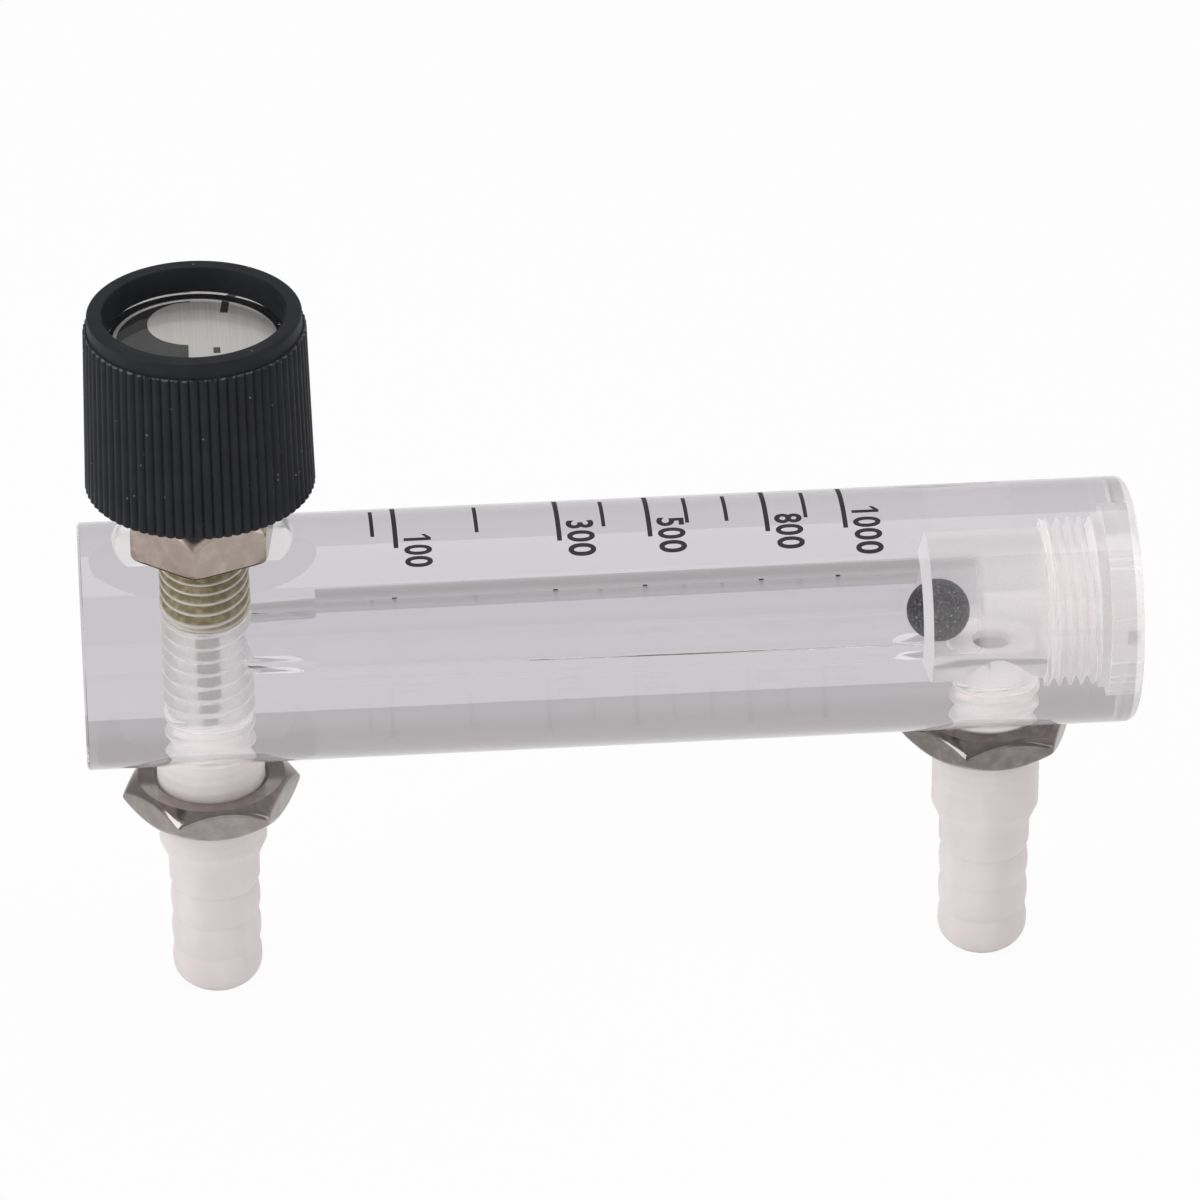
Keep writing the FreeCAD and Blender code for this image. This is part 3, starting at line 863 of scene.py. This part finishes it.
def fitting_shape(orifice, pitch, depth):
    """Hose fitting: barbs, threaded collar, ring groove and threaded shank."""
    top, collar_top = inlet_high.z, low_face - 0.01
    groove, collar_low = low_face + ring_depth, low_face - 10.1
    inside = [(1.9, 0.0), (1.8, 0.1), (1.8, top - 1.2), (orifice, top - 1.2), (orifice, top)]
    outside = [(3.8, top)] + rows(shank, top - 0.2, groove, pitch / 12)
    outside += [(3.6, groove), (3.6, collar_top), (4.7, collar_top)]
    outside += rows(collar, collar_top - 0.15, collar_low, pitch / 12)
    outline = inside + outside + barb_outline(collar_low - 1.8)
    return shaped(spun(outline, 96, closed=True),
                  thread(shank, groove, top - 0.2, pitch, depth),
                  thread(collar, collar_low, collar_top - 0.15, pitch, collar_relief,
                         fade=0.5))


def nut_shape(low, high):
    """Thin nut with rolled chamfers and a tapped hole."""
    hole, face, slope = 4.92, 6.6, 1 / math.tan(math.radians(40))
    outline = [(hole, low + 0.35), (hole + 0.35, low), (face, low)]
    outline += rows(9.0, low + 0.04, high - 0.04, 0.1)
    outline += [(face, high), (hole + 0.35, high), (hole, high - 0.35)]
    return shaped(spun(outline, 144, closed=True),
                  hexagon(nut_flats, low, high, [(low, face, slope), (high, face, slope)]))


class METER_OT_fittings(bpy.types.Operator):
    """Two nylon hose fittings with threaded collars"""
    bl_idname = "meter.fittings"
    bl_label = "Hose fittings"

    def execute(self, context):
        nylon = nylon_pair()
        for name, x, orifice in (("inlet", inlet_x, 1.1), ("outlet", outlet_x, 1.75)):
            shape = upright(fitting_shape(orifice, *port_thread(context)), x)
            for face in shape.faces:
                middle = face.calc_center_median()
                inside = math.hypot(middle.x - x, middle.y) < 2.2
                # faces inside the clear body get the lighter nylon with a painted glow:
                # painted light
                painted_lit = middle.z > low_face - (8 if inside else 0)
                face.material_index = int(painted_lit)
            turned_piece(name + "_hose_fitting", shape, nylon, "meter", "nylon",
                         name + "_fitting")
        dress(clear_ring_rubber(), "inlet_o_ring", "outlet_o_ring", "plug_o_ring")
        return {"FINISHED"}


class METER_OT_nuts(bpy.types.Operator):
    """Two thin plated panel nuts"""
    bl_idname = "meter.nuts"
    bl_label = "Panel nuts"

    def execute(self, context):
        # the outlet nut is a darker copy of the same plating: painted shade for the shadowed
        # floor it mirrors, the inlet one lighter
        lit_and_shaded_tones = {"inlet": ((0.31, 0.275, 0.265), (0.38, 0.34, 0.33)),
                 "outlet": ((0.20, 0.18, 0.175), (0.27, 0.245, 0.24))}
        for name, x, turn in (("inlet", inlet_x, 6.8), ("outlet", outlet_x, 10.4)):
            low, high = corners(name + "_nut")
            plate = nickel_plate(name + "_nut_nickel", (x * MM, 0, low.z * MM),
                                 *lit_and_shaded_tones[name], 0.08)
            shape = upright(nut_shape(low.z, high.z), x, math.radians(turn))
            turned_piece(name + "_panel_nut", shape, [plate], "meter", "nickel",
                         name + "_nut")
        return {"FINISHED"}


# ---- valve ----
def gland_shape(pitch, depth):
    """Hexagon gland with its threaded shank."""
    seat, top, low = top_face + 0.01, gland_high.z, gland_low.z
    groove, slope = top_face - ring_depth, 1 / math.tan(math.radians(54))
    outline = [(2.05, top - 0.15), (2.2, top), (5.7, top)]
    outline += rows(8.0, top - 0.04, seat, 0.12)
    outline += [(3.6, seat), (3.6, groove)]
    outline += rows(shank, groove - 0.02, low + 0.2, pitch / 12)
    outline += [(3.8, low), (2.5, low), (2.5, top - 3.6), (2.05, top - 3.6)]
    return shaped(spun(outline, 144, closed=True),
                  hexagon(gland_flats, seat - 0.01, top,
                          [(top, 5.7, slope), (seat, 6.75, 1.0)]),
                  thread(shank, low + 0.2, groove - 0.02, pitch, depth, start=0.1))


class METER_OT_valve(bpy.types.Operator):
    """Plated gland with a sealed brass thread, and the needle stem"""
    bl_idname = "meter.valve"
    bl_label = "Needle valve"

    def execute(self, context):
        shape = gland_shape(*port_thread(context))
        for face in shape.faces:
            height = face.calc_center_median().z
            # a dark band at the foot of the hexagon: painted shadow under the gland
            foot_edge = height < top_face + 0.1
            face.material_index = 1 if height < top_face else 2 if foot_edge else 0
        centre = (inlet_x * MM, 0, 0)
        foot = turned_metal("painted_shadow_edge", (0.03, 0.028, 0.02), (0.09, 0.08, 0.06), centre)
        plate = nickel_plate("gland_nickel", (inlet_x * MM, 0, gland_high.z * MM),
                             (0.38, 0.315, 0.27), (0.46, 0.39, 0.345), 0.14)
        turned_piece("threaded_gland", upright(shape, inlet_x, math.radians(22.5)),
                     [plate, sealed_thread(), foot], "meter", "nickel", "valve_gland")
        dress(turned_metal("stem_steel", (0.10, 0.09, 0.09), (0.20, 0.18, 0.18), centre),
              "valve_stem")
        dress(turned_metal("bush_brass", (0.44, 0.36, 0.20), (0.66, 0.57, 0.36), centre),
              "knob_bush")
        dress(black_rubber(), "stem_o_ring", "gland_o_ring")
        return {"FINISHED"}


# ---- knob ----
def knob_outline():
    """Section of the knob, from the foot of the skirt round to the inside of the boss."""
    foot, rim = knob_low.z, knob_high.z
    shoulder = rim - 1.5
    lens_top, lens_foot, disc_foot = lens_high.z, lens_low.z, dial_low.z
    wide, narrow = 10.1, 9.7
    outline = [(8.2, foot + 0.1), (8.3, foot), (wide - 0.2, foot), (wide, foot + 0.2)]
    outline += [(wide + (narrow - wide) * i / 8, foot + (shoulder - 0.1 - foot) * i / 8)
                for i in range(1, 8)]
    outline += [(narrow, shoulder - 0.12), (narrow - 0.04, shoulder - 0.03),
                (narrow - 0.12, shoulder), (9.42, shoulder), (9.36, shoulder + 0.02),
                (rim_band, shoulder + 0.1), (rim_band, rim - 0.3)]
    outline += arc((rim_band, rim - 0.3), (rim_band - 0.088, rim - 0.088), (9.05, rim), 5)
    outline += [(8.15, rim), (8.04, rim - 0.04), (8.0, rim - 0.14), (7.7, lens_top),
                (7.7, lens_foot), (7.25, lens_foot), (7.25, disc_foot), (2.6, disc_foot),
                (2.6, bush_high.z), (3.1, bush_high.z), (3.1, bush_low.z),
                (4.5, bush_low.z), (4.6, bush_low.z + 0.1), (4.6, disc_foot - 2.0),
                (4.9, disc_foot - 1.7), (7.55, disc_foot - 1.7), (7.85, disc_foot - 2.0)]
    return outline


def ribs(count, depth, low, high):
    """Change that cuts narrow grooves between flat-crowned ribs."""
    def change(radius, angle, height):
        if radius < 9.4 or not low <= height <= high:
            return radius
        across = abs((angle / TURN * count) % 1 - 0.5) * 2      # 1 in a groove
        groove = max(0.0, across - 0.2) / 0.8
        return max(radius - depth * groove ** 1.5, 9.36)
    return change


class METER_OT_knob(bpy.types.Operator):
    """Ribbed knob with its dial, printing, lens and screw"""
    bl_idname = "meter.knob"
    bl_label = "Knob and dial"

    def execute(self, context):
        sizes = context.scene.meter_knob
        shape = shaped(spun(knob_outline(), sizes.ribs * 10, closed=True),
                       ribs(sizes.ribs, sizes.rib_depth / MM, knob_low.z, knob_high.z - 1.49))
        turned_piece("ribbed_knob", upright(shape, inlet_x),
                     [black_moulding(tuple(sizes.colour), (knob_high.z - 1.5) * MM)],
                     "knob", "black_plastic", "knob_shell", sharp=50)
        r, low, high = 7.65, lens_low.z, lens_high.z
        lens = spun([(0, low), (r - 0.08, low), (r, low + 0.08), (r, high - 0.12),
                     (r - 0.12, high), (0, high)], 128)
        turned_piece("clear_window", upright(lens, inlet_x), [clear_lens()], "knob", "lens",
                     "dial_lens", sharp=20)
        dress(brushed_dial(), "dial_disc")
        dress(turned_metal("screw_steel", (0.42, 0.42, 0.43), (0.62, 0.62, 0.63),
                           (inlet_x * MM, 0, 0)), "knob_screw", "screw_washer")
        turned_piece("dial_print", upright(dial_print_shape(), inlet_x),
                     [printing_ink("dial_ink", (0.012, 0.012, 0.014))], "knob", "dial")
        return {"FINISHED"}


def dial_print_shape():
    """Crescent and two pointer lines printed on the dial disc."""
    bm = bmesh.new()
    z = dial_high.z + 0.006
    start = math.radians(90.5)
    spoke = Vector((math.cos(start), math.sin(start), 0))
    ends = [bm.verts.new(spoke * 3.85 + Vector((0, 0, z))),
            bm.verts.new(spoke * 6.85 + Vector((0, 0, z)))]
    bmesh.ops.spin(bm, geom=ends + [bm.edges.new(ends)], cent=(0, 0, 0), axis=(0, 0, 1),
                   angle=math.radians(173.6), steps=60)
    inner = [v for v in bm.verts if v.co.xy.length < 5]
    bmesh.ops.translate(bm, verts=inner, vec=(-0.2, 2.85, 0))
    for centre, length, width, lean in (((2.81, 5.75), 2.5, 0.68, -6.8),
                                        ((1.83, -2.1), 1.0, 0.6, 0.0)):
        bar = bmesh.ops.create_grid(bm, x_segments=1, y_segments=1, size=0.5)["verts"]
        bmesh.ops.scale(bm, verts=bar, vec=(width, length, 1))
        bmesh.ops.rotate(bm, verts=bar, matrix=Matrix.Rotation(math.radians(lean), 3, "Z"))
        bmesh.ops.translate(bm, verts=bar, vec=(*centre, z))
    return inked(bm, 0.02)


def inked(bm, thickness):
    """Gives flat printing its thin body."""
    bmesh.ops.recalc_face_normals(bm, faces=bm.faces)
    bmesh.ops.solidify(bm, geom=bm.faces[:], thickness=thickness)
    bmesh.ops.recalc_face_normals(bm, faces=bm.faces)
    return bm


# ---- scale ----
# stations from the start of the bore, in millimetres; a figure stands beyond its line
SHORT_LINES = (5.2, 14.4, 25.6, 33.0, 36.5, 43.5)
LONG_LINES = ((7.2, "100", 8.0, 28.0), (21.6, "300", 2.8, 26.0), (29.6, "500", 3.8, 26.4),
              (40.0, "800", 5.0, 27.2), (46.9, "1000", 2.0, 31.8))


def line_mark(bm, station, middle, length, width):
    """Printed line across the rod, flat: x runs round the rod, y along it."""
    bar = bmesh.ops.create_grid(bm, x_segments=1, y_segments=1, size=0.5)["verts"]
    bmesh.ops.scale(bm, verts=bar, vec=(length, width, 1))
    bmesh.ops.translate(bm, verts=bar, vec=(middle, station, 0))


def flagged(mesh):
    """Gives the leading 1 its slanted flag."""
    left, top = min(v.co.x for v in mesh.vertices), max(v.co.y for v in mesh.vertices)
    bm = bmesh.new()
    bm.from_mesh(mesh)
    flag = [bm.verts.new((left + x, top + y, 0)) for x, y in (
        (0.02, 0.0), (0.02, -0.13), (-0.20, -0.26), (-0.20, -0.16))]
    bm.faces.new(flag)
    bm.to_mesh(mesh)
    bm.free()
    return mesh


def figure_mark(bm, text, station, start, end, height):
    """Printed figures, flat: they fill the width from start to end."""
    curve = bpy.data.curves.new("figures", "FONT")
    curve.body, curve.size, curve.resolution_u = text, 1.0, 6
    curve.offset, curve.space_character = 0.026, 1.1
    holder = placed("figures", curve)
    mesh = worked_out(holder)
    if text.startswith("1"):
        mesh = flagged(mesh)
    across = [v.co.x for v in mesh.vertices]
    up = [v.co.y for v in mesh.vertices]
    fit = Matrix.Diagonal(((end - start) / (max(across) - min(across)),
                           height / (max(up) - min(up)), 1, 1))
    mesh.transform(fit @ Matrix.Translation((-min(across), -min(up), 0)))
    mesh.transform(Matrix.Translation((start, station, 0)))
    bm.from_mesh(mesh)
    bpy.data.objects.remove(holder)
    bpy.data.curves.remove(curve)
    bpy.data.meshes.remove(mesh)


def wrapped(bm, lift):
    """Rolls flat printing round the crown of the rod."""
    width = max(abs(v.co.x) for v in bm.verts)
    for i in range(-int(width / 0.4), int(width / 0.4) + 1):
        bmesh.ops.bisect_plane(bm, geom=bm.verts[:] + bm.edges[:] + bm.faces[:],
                               plane_co=(0.4 * i, 0, 0), plane_no=(1, 0, 0))
    r = rod_radius + lift
    for vert in bm.verts:
        angle = vert.co.x / rod_radius
        vert.co = (bore_start + vert.co.y, -r * math.sin(angle), axis_z + r * math.cos(angle))
    return bm


class METER_OT_scale(bpy.types.Operator):
    """Lines and figures printed on the crown of the rod"""
    bl_idname = "meter.scale"
    bl_label = "Printed scale"

    def execute(self, context):
        sizes = context.scene.meter_print
        width = sizes.line_width / MM
        round_rod = math.radians(1) * rod_radius           # one degree, along the surface
        bm = bmesh.new()
        for station in SHORT_LINES:
            line_mark(bm, station, -4.6 * round_rod, sizes.short_line / MM, width * 0.9)
        for station, text, start, end in LONG_LINES:
            line_mark(bm, station, -3.5 * round_rod, sizes.long_line / MM, width * 1.1)
            figure_mark(bm, text, station + 0.5 + width / 2, start * round_rod,
                        end * round_rod, sizes.figure / MM)
        shape = inked(wrapped(bm, 0.012), 0.02)
        turned_piece("scale_marks", shape, [printing_ink("scale_ink", tuple(sizes.ink))],
                     "meter", "black_plastic")
        return {"FINISHED"}


# ---- plug and float ----
def plug_shape(pitch, depth):
    """Slotted plug with its thread and the pin that stops the float.

    All but the outer face takes the second finish, the lighter nylon with a painted glow.
    """
    tip, end = plug_low.x, plug_high.x
    outline = [(0, tip), (1.0, tip), (1.1, tip + 0.1), (1.1, plug_face), (4.8, plug_face)]
    outline += rows(plug_thread, plug_face + 0.2, plug_neck, pitch / 12)
    outline += [(4.37, plug_neck), (4.37, plug_head), (5.6, plug_head),
                (5.7, plug_head + 0.1), (5.7, end - 0.25)]
    outline += arc((5.7, end - 0.25), (5.7 - 0.073, end - 0.073), (5.45, end), 4)
    outline.append((0, end))
    plug = shaped(spun(outline, 96),
                  thread(plug_thread, plug_face + 0.2, plug_neck, pitch, depth, start=0.5))
    for face in plug.faces:
        # all but the outer face get the lighter nylon: painted light
        face.material_index = int(face.calc_center_median().z < end - 0.3)
    return lying(plug)


def slot_shape():
    """Cutter for the screwdriver slot across the plug's head."""
    bm = bmesh.new()
    bmesh.ops.create_cube(bm, size=1.0)
    bmesh.ops.scale(bm, verts=bm.verts, vec=(2.0, 14.0, 1.2))
    bmesh.ops.translate(bm, verts=bm.verts, vec=(plug_high.x, 0, axis_z))
    return bm


class METER_OT_plug(bpy.types.Operator):
    """Slotted nylon plug that closes the chamber"""
    bl_idname = "meter.plug"
    bl_label = "End plug"

    def execute(self, context):
        nylon = nylon_pair()
        plug = block(plug_shape(*port_thread(context)), *nylon)
        mesh = carved(plug, [block(slot_shape(), nylon[0])])
        finished("slotted_plug", mesh, "meter", "nylon", "end_plug", sharp=40)
        return {"FINISHED"}


class METER_OT_float(bpy.types.Operator):
    """Satin float ball in the chamber"""
    bl_idname = "meter.float"
    bl_label = "Float"

    def execute(self, context):
        radius = (ball_high.x - ball_low.x) / 2
        bm = bmesh.new()
        bmesh.ops.create_icosphere(bm, subdivisions=5, radius=radius - 0.003)
        bmesh.ops.translate(bm, verts=bm.verts, vec=(ball_low + ball_high) / 2)
        turned_piece("float", bm, [float_finish()], "float", "ball", "float_ball")
        return {"FINISHED"}


# ---- studio ----
def lamp(name, place, aim, size, power):
    """Rectangular soft lamp."""
    data = bpy.data.lights.new(name, "AREA")
    data.shape, data.size, data.size_y, data.energy = "RECTANGLE", *size, power
    holder = placed(name, data)
    way = Vector(aim) - Vector(place)
    holder.visible_transmission = False
    holder.matrix_world = (Matrix.Translation(place)
                           @ way.to_track_quat("-Z", "Y").to_matrix().to_4x4())


def pale_floor():
    """Pale board: white to the eye, with the meter's soft shadow left on it."""
    finish = Finish("pale_board")
    grain = finish.noise(0.8 * MM, 2)
    board = finish.node("ShaderNodeBsdfDiffuse", None,
                        {"Color": finish.mix(grain, (0.84, 0.84, 0.84), (0.87, 0.87, 0.87))})
    glow = finish.node("ShaderNodeEmission", None,
                       {"Color": (1, 1, 1, 1), "Strength": 1.0})
    camera, glossy, through = finish.seen_by("Camera", "Glossy", "Transmission")
    seen = (0.94 * camera).most(0.92 * through).most(0.6 * glossy)
    return finish.done(finish.blend(seen, board.outputs[0], glow.outputs[0]))


def studio_world():
    """Soft room: plain bright walls behind clear pieces, greyer ones for metal to mirror."""
    finish = Finish("studio", world=True)
    way = finish.node("ShaderNodeTexCoord").outputs["Generated"]
    height = finish.part(way, 2)

    def sky(stops):
        colour = finish.node("ShaderNodeValToRGB", {"stops": stops}, {0: height}).outputs[0]
        return finish.node("ShaderNodeBackground", None, {"Color": colour}).outputs[0]

    room = sky([(0.0, (0.70, 0.70, 0.70)), (0.2, (0.42, 0.42, 0.42)),
                (0.6, (0.34, 0.34, 0.34)), (1.0, (0.45, 0.45, 0.45))])
    walls = sky([(0.0, (0.75, 0.735, 0.725)), (0.15, (0.66, 0.64, 0.625)),
                 (0.5, (0.62, 0.605, 0.59)), (0.85, (0.77, 0.755, 0.745))])
    paper = finish.node("ShaderNodeBackground", None, {"Color": (1, 1, 1, 1)}).outputs[0]
    through, camera = finish.seen_by("Transmission", "Camera")
    return finish.done(finish.blend(camera, finish.blend(through, room, walls), paper))


class METER_OT_stage(bpy.types.Operator):
    """Pale floor, soft lamps and the camera"""
    bl_idname = "meter.stage"
    bl_label = "Stage"

    def execute(self, context):
        scene = context.scene
        stage = scene.meter_stage
        bm = bmesh.new()
        bmesh.ops.create_grid(bm, x_segments=4, y_segments=4, size=1.0)
        bmesh.ops.translate(bm, verts=bm.verts, vec=(0, -0.7, 0))
        placed("floor", meshed("floor", bm, [pale_floor()]))
        scene.world = studio_world()
        aim = (0, 0, 0.035)
        lamp("key_left", (-0.55, -0.25, 0.35), aim, (0.35, 0.6), 1.7)
        lamp("key_right", (0.60, -0.20, 0.32), aim, (0.35, 0.6), 0.6)
        lamp("overhead", (0.0, 0.12, 0.75), aim, (0.8, 0.6), 2.5)
        lamp("front", (0.05, -0.8, 0.30), aim, (0.7, 0.4), 0.4)

        lens = bpy.data.cameras.new("camera")
        lens.lens, lens.sensor_width = stage.focal, 36.0
        lens.clip_start, lens.clip_end = 0.01, 20.0
        camera = placed("camera", lens)
        turn = (Matrix.Rotation(-stage.heading, 4, "Z")
                @ Matrix.Rotation(math.radians(90) - stage.dip, 4, "X")
                @ Matrix.Rotation(stage.roll, 4, "Z"))
        target = Vector((-0.68, 0, 37.84)) * MM            # middle of the view
        camera.matrix_world = (Matrix.Translation(target) @ turn
                               @ Matrix.Translation((0, 0, stage.distance)))
        scene.camera = camera
        scene.view_settings.view_transform = "Standard"
        # light goes on bouncing inside the clear rod
        scene.cycles.max_bounces = scene.cycles.transmission_bounces = 20
        scene.cycles.glossy_bounces = 12
        return {"FINISHED"}


# ---- panel and registration ----
class METER_PT_panel(bpy.types.Panel):
    """Pieces of the meter, in the order in which they are made"""
    bl_label = "Rotameter"
    bl_idname = "METER_PT_panel"
    bl_space_type = "VIEW_3D"
    bl_region_type = "UI"
    bl_category = "Rotameter"

    def draw(self, context):
        for name in SETTINGS:
            box = self.layout.box()
            settings = getattr(context.scene, name)
            for key in settings.__annotations__:
                box.prop(settings, key)
        for operator in OPERATORS:
            self.layout.operator(operator.bl_idname)


SETTINGS = {"meter_body": BodySizes, "meter_print": PrintSizes, "meter_knob": KnobSizes,
            "meter_stage": StageSettings}
OPERATORS = (METER_OT_body, METER_OT_fittings, METER_OT_nuts, METER_OT_valve, METER_OT_knob,
             METER_OT_plug, METER_OT_float, METER_OT_scale, METER_OT_stage)


def register():
    """Makes the settings, operators and panel known."""
    for kind in (*SETTINGS.values(), *OPERATORS, METER_PT_panel):
        bpy.utils.register_class(kind)
    for name, kind in SETTINGS.items():
        setattr(bpy.types.Scene, name, bpy.props.PointerProperty(type=kind))


def unregister():
    """Forgets them again."""
    for name in SETTINGS:
        delattr(bpy.types.Scene, name)
    for kind in (METER_PT_panel, *reversed(OPERATORS), *SETTINGS.values()):
        bpy.utils.unregister_class(kind)


def main():
    """Makes every piece."""
    register()
    bpy.ops.meter.body()
    bpy.ops.meter.fittings()
    bpy.ops.meter.nuts()
    bpy.ops.meter.valve()
    bpy.ops.meter.knob()
    bpy.ops.meter.plug()
    bpy.ops.meter.float()
    bpy.ops.meter.scale()
    bpy.ops.meter.stage()


if __name__ == "__main__":
    main()
